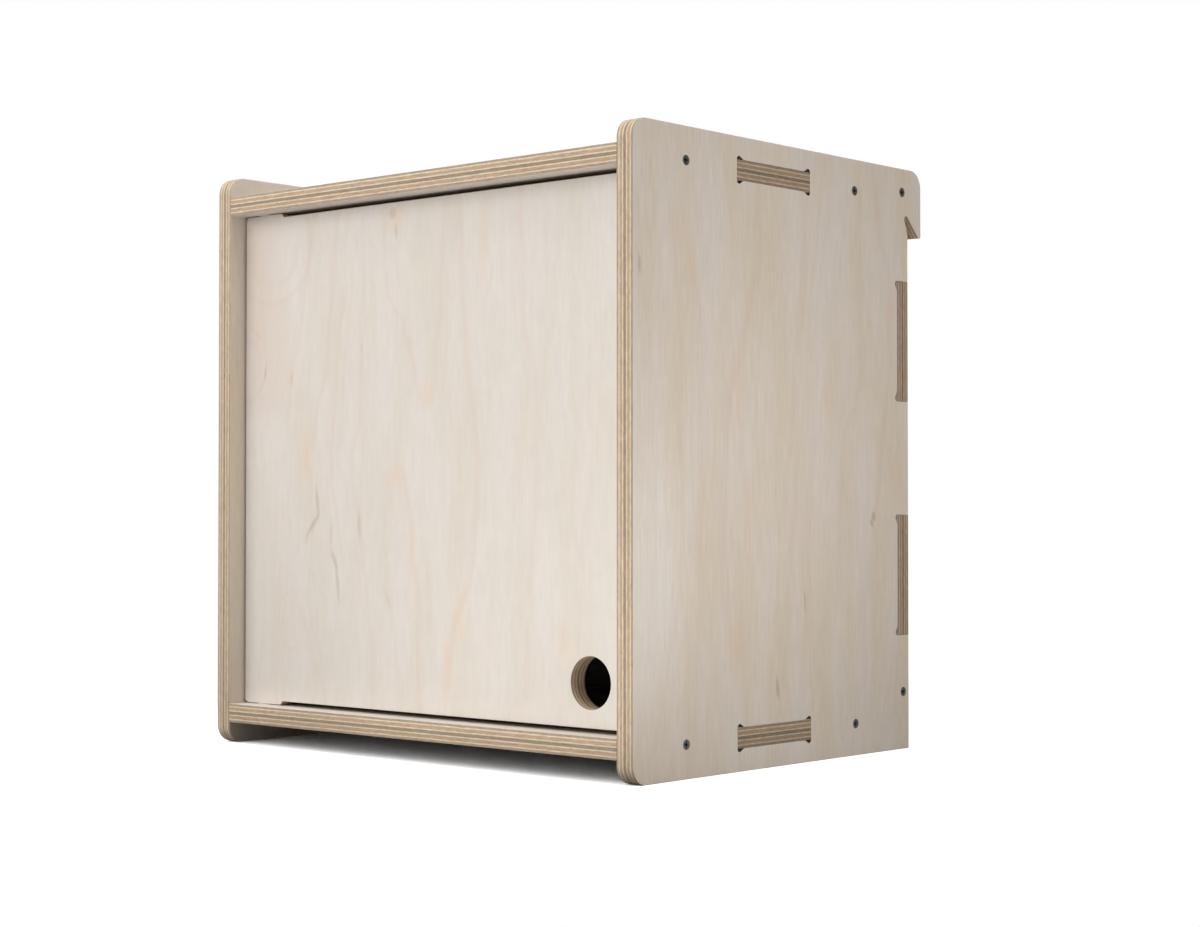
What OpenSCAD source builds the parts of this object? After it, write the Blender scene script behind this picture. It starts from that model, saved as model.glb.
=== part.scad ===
// Plywood wall cabinet with a pivoting inset door and cleat hooks on its side panels.
// The front faces -Y and +Z is up. The origin is under the middle of the whole box, at the feet.

/* [Sheet stock] */
// Thickness of the plywood that every panel is cut from
sheet_t = 12; // [10:0.5:15]
// Radius of the cutter, which sets the corner reliefs
cutter_r = 2; // [1:0.25:3]
// Length of the run-out of a corner relief, from the end of its slot
relief_run = 6; // [5:0.5:9]

/* [Carcass] */
// Width across the outer faces of the side panels
cabinet_w = 358; // [300:1:600]
// Height of the side panels
cabinet_h = 368; // [320:1:600]
// Depth from the front edges to the rear plane
carcass_d = 268; // [220:1:400]
// Distance from each end of a side panel to the near board
board_inset = 13.5; // [10:0.5:30]
// Radius of the rounded corners of the side panels
corner_r = 11; // [6:0.5:14]

/* [Through tenons] */
// Length of the tenons at the ends of the top and bottom boards
board_tenon_len = 71; // [50:1:90]
// Height of each tenon on the back panel
back_tenon_h = 76; // [50:1:90]
// Distance from mid-height to the near end of each tenon on the back panel
back_tenon_offset = 36; // [20:1:50]
// Clearance on each side of a tenon in its mortise
tenon_gap = 0.1; // [0.05:0.05:0.3]

/* [Wall hook] */
// How far the hook stands behind the rear plane
hook_depth = 15; // [12:0.5:24]
// Distance from the top of the side panel to the lower end of the hook
hook_drop = 42.5; // [36:0.5:60]
// Width of the flat lower end of the hook
hook_tip_w = 3; // [2:0.5:5]
// Radius of the hook's lower rear corner
hook_tip_r = 1; // [0.5:0.25:1.75]
// Depth of the undercut at the top of the hook's notch
notch_undercut = 3.4; // [1:0.2:5]
// Height of the undercut above the lower end of the hook
notch_undercut_rise = 1.5; // [0:0.5:4]

/* [Door] */
// How far the door's face lies behind the front edges
door_recess = 12; // [6:0.5:20]
// Gap between the door's upright edges and the side panels
door_side_gap = 1.4; // [1:0.1:4]
// Gap between the door and the boards, clear of the ears
door_end_gap = 2.8; // [2:0.1:5]
// Width of the pivot ears at the hinge side
ear_w = 35; // [28:0.5:50]
// Gap between an ear and the board that it turns under
ear_gap = 0.4; // [0.4:0.1:1.5]
// Radius of the door's corners at the ears
ear_r = 3; // [1:0.5:5]
// Diameter of the finger hole
finger_d = 30; // [22:1:40]
// Distance from the door's free edge to the middle of the finger hole
finger_edge = 28.5; // [24:0.5:40]
// Distance from the door's lower edge to the middle of the finger hole
finger_rise = 25.5; // [24:0.5:40]

/* [Pivots] */
// Diameter of the pivot pins
pin_d = 6; // [4:0.5:7]
// Length of a pivot pin inside the door
pin_in_door = 20; // [12:1:30]
// Length of a pivot pin inside its bush
pin_in_bush = 8; // [5:0.5:9]
// Wall of the pivot bushes
bush_wall = 1; // [0.75:0.25:2]
// Outside diameter of the pivot washers
washer_d = 14; // [11:0.5:20]
// Thickness of the pivot washers
washer_t = 0.3; // [0.1:0.1:0.3]
// Radial running clearance of the pivots
running_gap = 0.05; // [0.03:0.01:0.1]

/* [Screws] */
// Thread diameter of the screws
screw_d = 3; // [2.5:0.5:4]
// Head diameter of the screws
screw_head_d = 6; // [5:0.5:8]
// Length of the carcass screws
screw_len = 30; // [22:1:40]
// Depth of a screw head below the face
screw_sink = 0.2; // [0.1:0.1:0.6]
// Distance from the middle of a board to each of its screws
board_screw_pitch = 82; // [70:1:100]
// Distance from the top of the back panel to its upper screws
back_screw_top = 15; // [12:1:24]
// Distance from the foot of the side panel to the back panel's lower screws
back_screw_foot = 36; // [34:1:50]

/* [Door stop] */
// Width of the stop strip, out from the side panel
stop_w = 20; // [18:0.5:30]
// Length of the stop strip
stop_len = 160; // [150:1:200]
// Gap between the closed door and the stop strip
stop_gap = 0.3; // [0.1:0.1:1]
// Length of the stop strip's screws
stop_screw_len = 28; // [24:0.5:29]
// Distance from each end of the stop strip to its outer screws
stop_screw_end = 12; // [8:1:20]
// Distance from the strip's middle to each magnet
magnet_pitch = 45; // [30:1:48]
// Diameter of the catch magnets
magnet_d = 10; // [6:0.5:10]
// Thickness of the catch magnets
magnet_t = 4; // [2:0.5:6]
// Diameter of the strike plates on the door
strike_d = 14; // [10:0.5:16]
// Thickness of the strike plates
strike_t = 1.5; // [1.25:0.25:3]
// Length of the strike plates' screws
strike_screw_len = 9; // [7:0.5:10]
// Bevel on the rims of the pins, magnets and strike plates
rim_bevel = 0.3; // [0.1:0.1:0.5]

/* [Hidden] */
$fn = 64;
// Cuts run past a face by this much
over = 1;
// Radial clearance of pressed and screwed pieces
seat_gap = 0.02;
screw_tip_len = 3;
recess_w = 0.9;
recess_len = 3.4;
recess_depth = 1.4;
screw_head_h = (screw_head_d - screw_d) / 2;

inner_w = cabinet_w - 2 * sheet_t;
board_d = carcass_d - sheet_t;
y_front = -(carcass_d + hook_depth) / 2;
y_rear = y_front + carcass_d;
y_hook = y_rear + hook_depth;
y_back = y_rear - sheet_t;
y_board_mid = y_front + board_d / 2;
z_bottom_board = board_inset;
z_floor = z_bottom_board + sheet_t;
z_top_board = cabinet_h - board_inset - sheet_t;
inner_h = z_top_board - z_floor;
z_mid = cabinet_h / 2;
z_hook = cabinet_h - hook_drop;

y_door = y_front + door_recess;
y_door_mid = y_door + sheet_t / 2;
y_door_rear = y_door + sheet_t;
door_w = inner_w - 2 * door_side_gap;
x_door_hinge = -door_w / 2;
x_door_free = door_w / 2;
z_door_low = z_floor + door_end_gap;
z_door_high = z_top_board - door_end_gap;
pivot = [x_door_hinge + ear_w / 2, y_door_mid];
bush_r = pin_d / 2 + running_gap + bush_wall;
// The bore under a pin is a little deeper than the pin reaches
pin_relief = 0.5;

y_stop = y_door_rear + stop_gap;
x_stop = inner_w / 2 - stop_w;
x_catch = inner_w / 2 - stop_w / 2;
catch_heights = [z_mid - magnet_pitch, z_mid + magnet_pitch];
stop_screw_heights = [for (k = [-1 : 1]) z_mid + k * (stop_len / 2 - stop_screw_end)];

board_screw_ys = [y_board_mid - board_screw_pitch, y_board_mid + board_screw_pitch];
back_screw_zs = [back_screw_foot, cabinet_h - back_screw_top];
back_tenon_zs = [z_mid - back_tenon_offset - back_tenon_h, z_mid + back_tenon_offset];

birch = [0.87, 0.80, 0.71];
birch_side = [0.76, 0.70, 0.62];
steel = [0.36, 0.39, 0.42];
bright_steel = [0.70, 0.71, 0.72];
brass = [0.78, 0.63, 0.35];
nylon = [0.92, 0.91, 0.87];

// Where a line from point p touches a circle, on the side that is given as 1 or -1
function touch(p, c, r, side) =
    let (d = p - c, a = atan2(d.y, d.x) + side * acos(r / norm(d))) c + r * [cos(a), sin(a)];

// Outline in Y and Z, carried along +X from x for a length
module across_x(x, length) {
    translate([x, 0, 0]) rotate([90, 0, 90]) linear_extrude(length) children();
}

// Outline in X and Z, carried along +Y from y for a length
module across_y(y, length) {
    translate([0, y + length, 0]) rotate([90, 0, 0]) linear_extrude(length) children();
}

// What a round corner takes off, at a corner that points to +x and +y
module corner_waste(r) {
    translate([-r, -r]) difference() {
        square(r + over);
        circle(r);
    }
}

// Relief past the long edge of a slot, whose corner is at the origin and whose room lies along +x
module corner_relief() {
    centre = [cutter_r, 0];
    run_out = [relief_run, 0];
    translate(centre) circle(cutter_r);
    polygon([centre, touch(run_out, centre, cutter_r, 1), run_out]);
}

// Reliefs at both ends of the long edge of a tenon's slot, which lies along x from the origin
module relieved_edge(length) {
    for (end = [0, 1]) translate([end * length, 0]) mirror([end, 0]) mirror([0, 1]) corner_relief();
}

// Mortise for the tenon of a board, in Y and Z, around the board's underside
module board_mortise(z) {
    length = board_tenon_len + 2 * tenon_gap;
    height = sheet_t + 2 * tenon_gap;
    translate([y_board_mid - length / 2, z - tenon_gap]) {
        square([length, height]);
        relieved_edge(length);
        translate([0, height]) mirror([0, 1]) relieved_edge(length);
    }
}

// Open notch for a tenon of the back panel, in Y and Z
module back_notch(z) {
    length = back_tenon_h + 2 * tenon_gap;
    translate([y_back - tenon_gap, z - tenon_gap]) {
        square([sheet_t + tenon_gap + over, length]);
        mirror([1, 0]) rotate(90) mirror([0, 1]) relieved_edge(length);
    }
}

// Bevelled notch behind the rear plane, where the hook goes over a wall cleat
module cleat_notch() {
    tip = [y_hook - hook_tip_w, z_hook];
    bevel_sum = tip.x + tip.y;
    centre_y = y_rear - notch_undercut + cutter_r;
    centre = [centre_y, bevel_sum - cutter_r * sqrt(2) - centre_y];
    foot = [y_rear, z_hook + notch_undercut_rise];
    translate(centre) circle(cutter_r);
    polygon([[y_rear, z_hook - over], foot, touch(foot, centre, cutter_r, -1), centre,
        centre + cutter_r * [1, 1] / sqrt(2), tip, [tip.x + over, tip.y - over]]);
}

// Side panel in Y and Z: rounded front corners, a hook at the rear, mortises and notches
module side_outline() {
    difference() {
        union() {
            translate([y_front, 0]) square([carcass_d, cabinet_h]);
            translate([y_front, z_hook]) square([carcass_d + hook_depth, hook_drop]);
        }
        translate([y_front, cabinet_h]) mirror([1, 0]) corner_waste(corner_r);
        translate([y_front, 0]) mirror([1, 0]) mirror([0, 1]) corner_waste(corner_r);
        translate([y_hook, cabinet_h]) corner_waste(corner_r);
        translate([y_hook, z_hook]) mirror([0, 1]) corner_waste(hook_tip_r);
        cleat_notch();
        board_mortise(z_bottom_board);
        board_mortise(z_top_board);
        for (z = back_tenon_zs) back_notch(z);
    }
}

// Countersunk screw, head at the origin and point towards -z
module wood_screw(length) {
    shank = length - screw_tip_len;
    difference() {
        union() {
            translate([0, 0, -screw_head_h]) cylinder(h = screw_head_h, d1 = screw_d, d2 = screw_head_d);
            translate([0, 0, -shank]) cylinder(h = shank - screw_head_h, d = screw_d);
            translate([0, 0, -length]) cylinder(h = screw_tip_len, d1 = screw_d / 4, d2 = screw_d);
        }
        for (a = [0, 90]) rotate(a) translate([-recess_len / 2, -recess_w / 2, -recess_depth])
            cube([recess_len, recess_w, recess_depth + over]);
    }
}

// Countersunk hole for a screw, whose head lies screw_sink under the face at z = 0
module screw_hole(length) {
    grown = 2 * seat_gap;
    translate([0, 0, -screw_sink - screw_head_h])
        cylinder(h = screw_head_h, d1 = screw_d + grown, d2 = screw_head_d + grown);
    translate([0, 0, -screw_sink]) cylinder(h = screw_sink + over, d = screw_head_d + grown);
    translate([0, 0, -screw_sink - length - seat_gap]) cylinder(h = length, d = screw_d + grown);
}

// Round piece up from the origin, with a bevel at both rims
module bevelled_rod(length, d) {
    d_end = d - 2 * rim_bevel;
    cylinder(h = rim_bevel, d1 = d_end, d2 = d);
    translate([0, 0, rim_bevel]) cylinder(h = length - 2 * rim_bevel, d = d);
    translate([0, 0, length - rim_bevel]) cylinder(h = rim_bevel, d1 = d, d2 = d_end);
}

// Turns what points along -z to point inwards from the outer face of the right or left side
module from_side(side) {
    translate([side * cabinet_w / 2, 0, 0]) rotate([0, side * 90, 0]) children();
}

// Positions along a side, as seen in Y and Z
module at_side(side, y, z) {
    translate([0, y, z]) from_side(side) children();
}

module board_screw_holes(side, z) {
    for (y = board_screw_ys) at_side(side, y, z + sheet_t / 2) screw_hole(screw_len);
}

module back_screw_holes(side) {
    for (z = back_screw_zs) at_side(side, y_rear - sheet_t / 2, z) screw_hole(screw_len);
}

module side_panel(side) {
    x_inner = side * inner_w / 2;
    color(birch_side) difference() {
        across_x(min(x_inner, x_inner + side * sheet_t), sheet_t) side_outline();
        board_screw_holes(side, z_bottom_board);
        board_screw_holes(side, z_top_board);
        back_screw_holes(side);
        if (side > 0) stop_screw_holes();
    }
}

// Top or bottom board in X and Y, with a tenon at each end
module board_outline() {
    translate([-inner_w / 2, y_front]) square([inner_w, board_d]);
    translate([-cabinet_w / 2, y_board_mid - board_tenon_len / 2]) square([cabinet_w, board_tenon_len]);
}

// Blind bore for a pivot bush, from the face at z, up or down
module bush_bore(z, up) {
    depth = pin_in_bush + pin_relief;
    translate([pivot.x, pivot.y, up ? z - over : z - depth])
        cylinder(h = depth + over, r = bush_r + seat_gap);
}

module board(z) {
    upper = z > z_mid;
    color(birch) difference() {
        translate([0, 0, z]) linear_extrude(sheet_t) board_outline();
        for (side = [-1, 1]) board_screw_holes(side, z);
        bush_bore(upper ? z_top_board : z_floor, upper);
    }
}

// Back panel in X and Z, with two tenons at each side
module back_outline() {
    translate([-inner_w / 2, z_bottom_board]) square([inner_w, cabinet_h - z_bottom_board]);
    for (z = back_tenon_zs) translate([-cabinet_w / 2, z]) square([cabinet_w, back_tenon_h]);
}

module back_panel() {
    color(birch) difference() {
        across_y(y_back, sheet_t) back_outline();
        for (side = [-1, 1]) back_screw_holes(side);
    }
}

// One end of the door's ear, with its edge at y = 0: a rounded corner and a sloping shoulder
module ear_end() {
    rise = door_end_gap - ear_gap;
    shoulder = ear_w + rise;
    difference() {
        polygon([[0, -ear_r - rise], [shoulder, -ear_r - rise], [shoulder, -rise], [ear_w, 0], [0, 0]]);
        mirror([1, 0]) corner_waste(ear_r);
    }
}

// Door in X and Z, with the pivot ears at the hinge side
module door_outline() {
    z_ear_low = z_floor + ear_gap;
    z_ear_high = z_top_board - ear_gap;
    rise = door_end_gap - ear_gap;
    difference() {
        union() {
            translate([x_door_hinge, z_ear_low + ear_r + rise])
                square([door_w, z_ear_high - z_ear_low - 2 * (ear_r + rise)]);
            translate([x_door_hinge + ear_w, z_door_low]) square([door_w - ear_w, z_door_high - z_door_low]);
            translate([x_door_hinge, z_ear_high]) ear_end();
            translate([x_door_hinge, z_ear_low]) mirror([0, 1]) ear_end();
        }
        translate([x_door_free - finger_edge, z_door_low + finger_rise]) circle(d = finger_d);
    }
}

// Blind bore for a pivot pin in the door's edge at z, up or down into the door
module pin_bore(z, up) {
    depth = pin_in_door + pin_relief;
    translate([pivot.x, pivot.y, up ? z - over : z - depth])
        cylinder(h = depth + over, r = pin_d / 2 + seat_gap);
}

// Turns what points along -z to point forwards, into the door's rear face
module into_door(z) {
    translate([x_catch, y_door_rear, z]) rotate([-90, 0, 0]) children();
}

module door_panel() {
    color(birch) difference() {
        across_y(y_door, sheet_t) door_outline();
        pin_bore(z_floor + ear_gap, true);
        pin_bore(z_top_board - ear_gap, false);
        for (z = catch_heights) into_door(z) {
            translate([0, 0, -strike_t]) cylinder(h = strike_t + over, d = strike_d + 2 * seat_gap);
            screw_hole(strike_screw_len);
        }
    }
}

module pivot_pin(upper) {
    length = pin_in_door + ear_gap + pin_in_bush;
    z_low = upper ? z_top_board - ear_gap - pin_in_door : z_floor - pin_in_bush;
    color(bright_steel) translate([pivot.x, pivot.y, z_low]) bevelled_rod(length, pin_d);
}

module pivot_bush(upper) {
    z_low = upper ? z_top_board : z_floor - pin_in_bush;
    color(brass) translate([pivot.x, pivot.y, z_low]) difference() {
        cylinder(h = pin_in_bush, r = bush_r);
        translate([0, 0, -over]) cylinder(h = pin_in_bush + 2 * over, r = pin_d / 2 + running_gap);
    }
}

module pivot_washer(upper) {
    z_low = upper ? z_top_board - washer_t : z_floor;
    color(nylon) translate([pivot.x, pivot.y, z_low]) difference() {
        cylinder(h = washer_t, d = washer_d);
        translate([0, 0, -over]) cylinder(h = washer_t + 2 * over, r = pin_d / 2 + 2 * running_gap);
    }
}

module board_screws(side, z) {
    color(steel) for (y = board_screw_ys) at_side(side, y, z + sheet_t / 2)
        translate([0, 0, -screw_sink]) wood_screw(screw_len);
}

module back_screws(side) {
    color(steel) for (z = back_screw_zs) at_side(side, y_rear - sheet_t / 2, z)
        translate([0, 0, -screw_sink]) wood_screw(screw_len);
}

// Turns what points along -z to point towards +x, into the stop strip's inner edge
module into_stop(z) {
    translate([x_stop, y_stop + sheet_t / 2, z]) rotate([0, -90, 0]) children();
}

module stop_screw_holes() {
    for (z = stop_screw_heights) into_stop(z) screw_hole(stop_screw_len);
}

// Turns what points along -z to point rearwards, into the stop strip's front face
module into_stop_face(z) {
    translate([x_catch, y_stop, z]) rotate([90, 0, 0]) children();
}

module door_stop() {
    color(birch) difference() {
        translate([x_stop, y_stop, z_mid - stop_len / 2]) cube([stop_w, sheet_t, stop_len]);
        stop_screw_holes();
        for (z = catch_heights) into_stop_face(z)
            translate([0, 0, -magnet_t]) cylinder(h = magnet_t + over, d = magnet_d + 2 * seat_gap);
    }
}

module door_stop_screws() {
    color(steel) for (z = stop_screw_heights) into_stop(z)
        translate([0, 0, -screw_sink]) wood_screw(stop_screw_len);
}

module catch_magnet(z) {
    color(bright_steel) into_stop_face(z) translate([0, 0, -magnet_t]) bevelled_rod(magnet_t, magnet_d);
}

module strike_plate(z) {
    color(bright_steel) into_door(z) difference() {
        translate([0, 0, -strike_t]) bevelled_rod(strike_t, strike_d);
        screw_hole(strike_screw_len);
    }
}

module strike_screw(z) {
    color(bright_steel) into_door(z) translate([0, 0, -screw_sink]) wood_screw(strike_screw_len);
}

side_panel(-1);  // left_side_panel
side_panel(1);  // right_side_panel
board(z_top_board);  // top_board
board(z_bottom_board);  // bottom_board
back_panel();
door_panel();
door_stop();
pivot_pin(true);  // upper_pivot_pin
pivot_pin(false);  // lower_pivot_pin
pivot_bush(true);  // upper_pivot_bush
pivot_bush(false);  // lower_pivot_bush
pivot_washer(true);  // upper_pivot_washer
pivot_washer(false);  // lower_pivot_washer
board_screws(-1, z_top_board);  // left_top_screws
board_screws(-1, z_bottom_board);  // left_bottom_screws
back_screws(-1);  // left_back_screws
board_screws(1, z_top_board);  // right_top_screws
board_screws(1, z_bottom_board);  // right_bottom_screws
back_screws(1);  // right_back_screws
door_stop_screws();
catch_magnet(catch_heights[1]);  // upper_catch_magnet
catch_magnet(catch_heights[0]);  // lower_catch_magnet
strike_plate(catch_heights[1]);  // upper_strike_plate
strike_plate(catch_heights[0]);  // lower_strike_plate
strike_screw(catch_heights[1]);  // upper_strike_screw
strike_screw(catch_heights[0]);  // lower_strike_screw
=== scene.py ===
"""Plywood wall cabinet with a pivoting inset door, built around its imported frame.

The sections follow the order in which the cabinet goes together: side panels, boards, back, screws, stop
strip, pivots, door and catches, and then the plain studio. Lengths are metres, the front faces -Y and
+Z is up.
"""

import math

import bmesh
import bpy
import numpy as np
from mathutils.geometry import tessellate_polygon
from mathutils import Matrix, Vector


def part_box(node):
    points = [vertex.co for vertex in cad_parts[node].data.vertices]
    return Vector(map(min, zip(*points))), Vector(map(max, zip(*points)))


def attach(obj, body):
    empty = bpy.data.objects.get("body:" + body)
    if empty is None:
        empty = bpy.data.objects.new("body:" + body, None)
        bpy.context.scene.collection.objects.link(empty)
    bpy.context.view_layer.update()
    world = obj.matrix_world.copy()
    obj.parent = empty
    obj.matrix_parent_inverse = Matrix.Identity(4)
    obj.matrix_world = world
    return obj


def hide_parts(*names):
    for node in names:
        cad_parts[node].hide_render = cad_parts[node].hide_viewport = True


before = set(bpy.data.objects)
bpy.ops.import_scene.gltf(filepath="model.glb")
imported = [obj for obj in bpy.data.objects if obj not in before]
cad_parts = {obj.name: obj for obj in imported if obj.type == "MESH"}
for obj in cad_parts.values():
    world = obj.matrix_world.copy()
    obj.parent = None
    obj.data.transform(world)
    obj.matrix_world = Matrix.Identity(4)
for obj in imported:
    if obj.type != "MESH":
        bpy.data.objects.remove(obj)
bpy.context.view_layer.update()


# Side panels. Two uprights routed from nine-ply birch plywood. Each has rounded front corners, a bevelled
# hook at the rear that goes over a wall cleat, and mortises and notches that take the tenons of the boards
# and the back.
MM = 0.001
X, Y, Z = np.eye(3)
arris = 0.35 * MM
mortise_arris = 0.2 * MM
hole_arris = 0.1 * MM
corner_r = 11 * MM
cutter_r = 2 * MM
relief_run = 6 * MM
tenon_gap = 0.1 * MM
board_tenon_len = 71 * MM
back_tenon_h = 76 * MM
back_tenon_offset = 36 * MM
hook_drop = 42.5 * MM
hook_tip_w = 3 * MM
hook_tip_r = 1 * MM
notch_undercut = 3.4 * MM
notch_rise = 1.5 * MM
head_r = 3 * MM
shank_r = 1.5 * MM
head_sink = 0.2 * MM

side_low, side_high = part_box("right_side_panel")
back_low, back_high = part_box("back_panel")
sheet_t = side_high.x - side_low.x
cabinet_h = side_high.z
relief_reach = relief_run * math.tan(math.asin(cutter_r / (relief_run - cutter_r)))


def rounded_outline(corners, steps=13):
    """Closed outline through corners given as rows of two places and a radius.

    A corner becomes an arc that touches both its edges: it starts radius * tan(half the turn) before the
    corner and turns evenly about a centre on the inner side of the bend. A corner of radius 0 stays a point.
    """
    points, radius = np.split(np.asarray(corners, float), [2], axis=1)
    arriving = points - np.roll(points, 1, axis=0)
    arriving /= np.linalg.norm(arriving, axis=1, keepdims=True)
    leaving = np.roll(arriving, -1, axis=0)
    across = arriving[:, ::-1] * (-1, 1)
    turn = np.arctan2((across * leaving).sum(1), (arriving * leaving).sum(1))[:, None]
    to_centre = across * np.sign(turn) * radius
    centre = points - arriving * radius * np.tan(np.abs(turn) / 2) + to_centre
    angle = turn * np.linspace(0, 1, steps)
    cos, sin = np.cos(angle)[..., None], np.sin(angle)[..., None]
    start = -to_centre[:, None]
    arc = centre[:, None] + start * cos + start[..., ::-1] * (-1, 1) * sin
    path = arc.reshape(-1, 2)
    moved = np.linalg.norm(path - np.roll(path, 1, axis=0), axis=1) > 1e-7
    return path[moved]


def ring_outline(centre, radius, steps=48):
    """Circle about a centre, as evenly turned points."""
    angle = np.linspace(0, 2 * np.pi, steps, endpoint=False)
    return np.asarray(centre) + radius * np.stack([np.cos(angle), np.sin(angle)], axis=1)


def sanded_wall(depth, ease=arris, steps=4):
    """Profile of a sawn wall as rows of inset and depth: quarter rounds at both faces, straight between."""
    angle = np.linspace(0, np.pi / 2, steps)
    upper = ease * np.stack([1 - np.sin(angle), 1 - np.cos(angle)], axis=1)
    lower = upper[::-1] * (1, -1) + (0, depth)
    return np.concatenate([upper, lower])


def sawn_panel(name, cuts, face, along_u, along_v, inward):
    """Panel cut from sheet. A cut is an outline in the sheet's plane, a wall profile, and if it goes through.

    A ring of a wall is its outline moved into the wood along the mitred normals by the profile's inset, at
    the profile's depth under the face. The first cut is the rim and the rest are holes. Both faces are filled
    between the rings that lie in them, and a pocket is filled by its own floor.
    """
    rows, walls, near_face, far_face, floors = [], [], [], [], []
    for order, (outline, profile, through) in enumerate(cuts):
        following = np.roll(outline, -1, axis=0)
        area = (outline[:, 0] * following[:, 1] - outline[:, 1] * following[:, 0]).sum()
        path = outline if (area > 0) == (order == 0) else outline[::-1]
        ahead = np.roll(path, -1, axis=0) - path
        ahead /= np.linalg.norm(ahead, axis=1, keepdims=True)
        normal = ahead[:, ::-1] * (-1, 1)
        before = np.roll(normal, 1, axis=0)
        mitre = (normal + before) / (1 + (normal * before).sum(1, keepdims=True))
        inset, depth = profile.T[..., None]
        rings = np.empty((len(profile), len(path), 3))
        rings[..., :2] = path + inset[..., None] * mitre
        rings[..., 2] = depth
        index = sum(map(len, rows)) + np.arange(rings[..., 0].size).reshape(rings.shape[:2])
        turned = np.roll(index, -1, axis=1)
        walls.append(np.stack([index[:-1], turned[:-1], turned[1:], index[1:]], axis=-1).reshape(-1, 4))
        rows.append(rings.reshape(-1, 3))
        near_face.append(index[0])
        if through:
            far_face.append(index[-1])
        else:
            floors.append([index[-1]])
    sheet = np.concatenate(rows)
    flats = []
    for loops in [near_face, far_face, *floors]:
        triangles = tessellate_polygon([sheet[loop].tolist() for loop in loops])
        flats += np.concatenate(loops)[np.array(triangles)].tolist()
    quads = np.concatenate(walls).tolist()
    place = np.asarray(face) + sheet @ np.stack([along_u, along_v, inward])
    return solid(name, place, quads, flats)


def solid(name, place, rounded, flats=()):
    """Object at the origin from points and faces, with normals outwards, smooth on rounded faces only."""
    mesh = bpy.data.meshes.new(name)
    mesh.from_pydata(place.tolist(), [], [*rounded, *flats])
    shell = bmesh.new()
    shell.from_mesh(mesh)
    bmesh.ops.recalc_face_normals(shell, faces=shell.faces)
    shell.to_mesh(mesh)
    shell.free()
    mesh.set_sharp_from_angle(angle=math.radians(38))
    smooth = np.arange(len(mesh.polygons)) < len(rounded)
    mesh.polygons.foreach_set("use_smooth", smooth)
    piece = bpy.data.objects.new(name, mesh)
    bpy.context.scene.collection.objects.link(piece)
    return piece


def srgb(red, green, blue):
    """Shader colour from the 0 to 255 values of a colour as it is seen."""
    share = np.array([red, green, blue]) / 255
    return (*np.where(share < 0.04, share / 12.92, ((share + 0.055) / 1.055) ** 2.4).tolist(), 1.0)


def add_node(tree, kind, inputs=None, **settings):
    """Shader node with its options set, and its inputs linked to sockets or set to values."""
    made = tree.nodes.new(kind)
    for option, value in settings.items():
        setattr(made, option, value)
    for key, value in (inputs or {}).items():
        if isinstance(value, bpy.types.NodeSocket):
            tree.links.new(value, made.inputs[key])
        else:
            made.inputs[key].default_value = value
    return made


def calc(tree, operation, *values, clamp=False):
    """Output of one sum on sockets or numbers."""
    made = add_node(tree, "ShaderNodeMath", dict(enumerate(values)), operation=operation, use_clamp=clamp)
    return made.outputs[0]


def rise_between(tree, value, low, high):
    """0 below low, 1 above high, and a smooth step between them."""
    limits = {"Value": value, "From Min": low, "From Max": high}
    return add_node(tree, "ShaderNodeMapRange", limits, interpolation_type="SMOOTHSTEP").outputs[0]


def lay_over(tree, share, under, over, how="MIX"):
    """Colour of one layer seen through another, by a share from 0 to 1."""
    made = add_node(tree, "ShaderNodeMix", {0: share, 6: under, 7: over}, data_type="RGBA", blend_type=how)
    return made.outputs[2]


def grain_noise(tree, sheet, across, along, seed, detail=2.0):
    """Noise whose marks are about that wide across the grain and that long along it, in millimetres."""
    scale = (1 / across, 1 / along, 0)
    inputs = {0: sheet, 1: scale, 2: (seed, 1.7 * seed, 0)}
    spread = add_node(tree, "ShaderNodeVectorMath", inputs, operation="MULTIPLY_ADD").outputs[0]
    noise = {"Vector": spread, "Scale": 1.0, "Detail": detail, "Roughness": 0.55}
    return add_node(tree, "ShaderNodeTexNoise", noise, noise_dimensions="2D").outputs[0]


def soft_spot(tree, sheet, across, along, half_width, half_length, lean=0.0):
    """1 in the middle of a place on the face, falling smoothly to 0 at its half width and half length."""
    turn = {"Location": (across, along, 0), "Rotation": (0, 0, math.radians(lean))}
    turn |= {"Vector": sheet, "Scale": (half_width, half_length, 1000)}
    near = add_node(tree, "ShaderNodeMapping", turn, vector_type="TEXTURE").outputs[0]
    return add_node(tree, "ShaderNodeTexGradient", {0: near}, gradient_type="QUADRATIC_SPHERE").outputs[1]


ply_colours = [(170, 149, 127), (214, 201, 178), (184, 156, 129), (212, 199, 175), (154, 136, 114),
               (212, 199, 175), (184, 157, 129), (214, 201, 178), (168, 148, 126)]
outer_ply_t = 1.5
dark_ply_t = 1.96
light_ply_t = 0.78


def pressed_noise(tree, sheet, along, through, detail):
    """Noise whose marks are about that long along a sawn edge and that thick through it, in millimetres."""
    inputs = {0: sheet, 1: (1 / along, 1 / along, 1 / through)}
    pressed = add_node(tree, "ShaderNodeVectorMath", inputs, operation="MULTIPLY").outputs[0]
    noise = {"Vector": pressed, "Scale": 1.0, "Detail": detail, "Roughness": 0.6}
    return add_node(tree, "ShaderNodeTexNoise", noise).outputs[0]


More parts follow.
